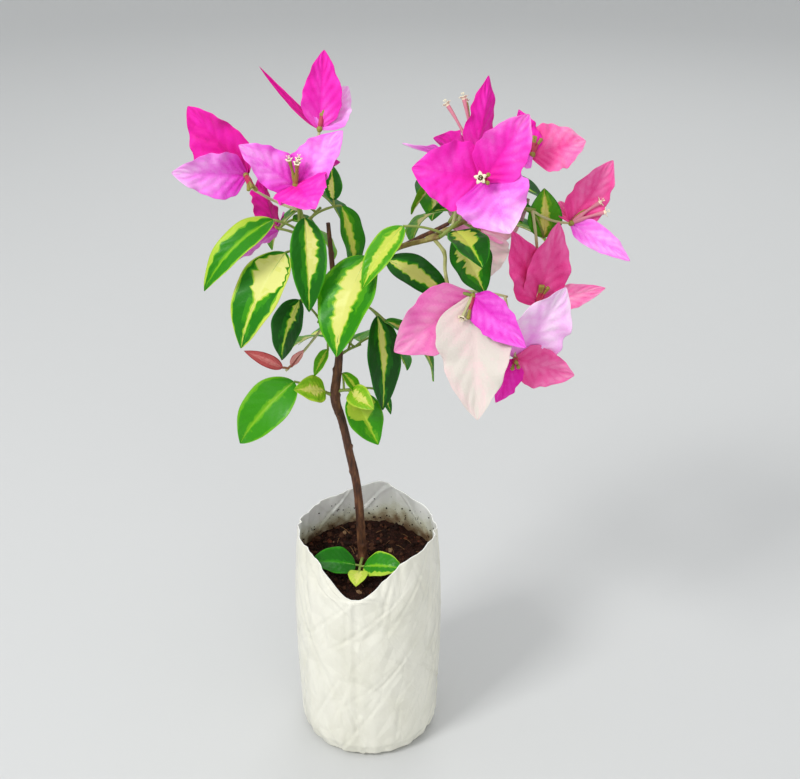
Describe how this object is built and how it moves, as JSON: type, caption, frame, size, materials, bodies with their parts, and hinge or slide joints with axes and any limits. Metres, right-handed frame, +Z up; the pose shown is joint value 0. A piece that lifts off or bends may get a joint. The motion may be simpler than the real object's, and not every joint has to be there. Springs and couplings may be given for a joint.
{
  "type": "potted bougainvillea bush",
  "caption": "Young flowering shrub in a soft plastic nursery bag of soil, with a slim bent stem, drooping variegated leaves and pink three-bracted blossom.",
  "frame": {"origin": "middle of the bag's flat underside, where the plant stands", "axes": "+Z up along the stem, +X to the viewer's right, -Y towards the viewer"},
  "size_m": [0.2169, 0.1236, 0.3871],
  "materials": {
    "bag_film": "satin",
    "soil": "matte",
    "bark": "matte",
    "green_bark": "matte",
    "leaf_and_bract": "satin",
    "leaf": "satin",
    "bract": "matte",
    "pale_bract": "matte"
  },
  "bodies": {
    "root": {"grow_bag": "bag_film", "soil": "soil", "main_stem": "bark", "left_bough": "green_bark", "right_bough": "green_bark", "right_outer_bough": "green_bark", "right_low_bough": "green_bark", "back_left_bough": "bark", "back_right_bough": "bark", "upper_left_spray": "leaf_and_bract", "left_low_leaves": "leaf", "knee_leaves": "leaf", "fork_leaves": "leaf", "hanging_leaves": "leaf", "lower_right_leaves": "leaf", "basal_leaves": "leaf", "right_top_spray": "bract", "right_outer_spray": "bract", "right_low_spray": "pale_bract", "back_left_spray": "bract", "back_right_spray": "bract", "back_low_leaves": "leaf"}
  },
  "joints": []
}
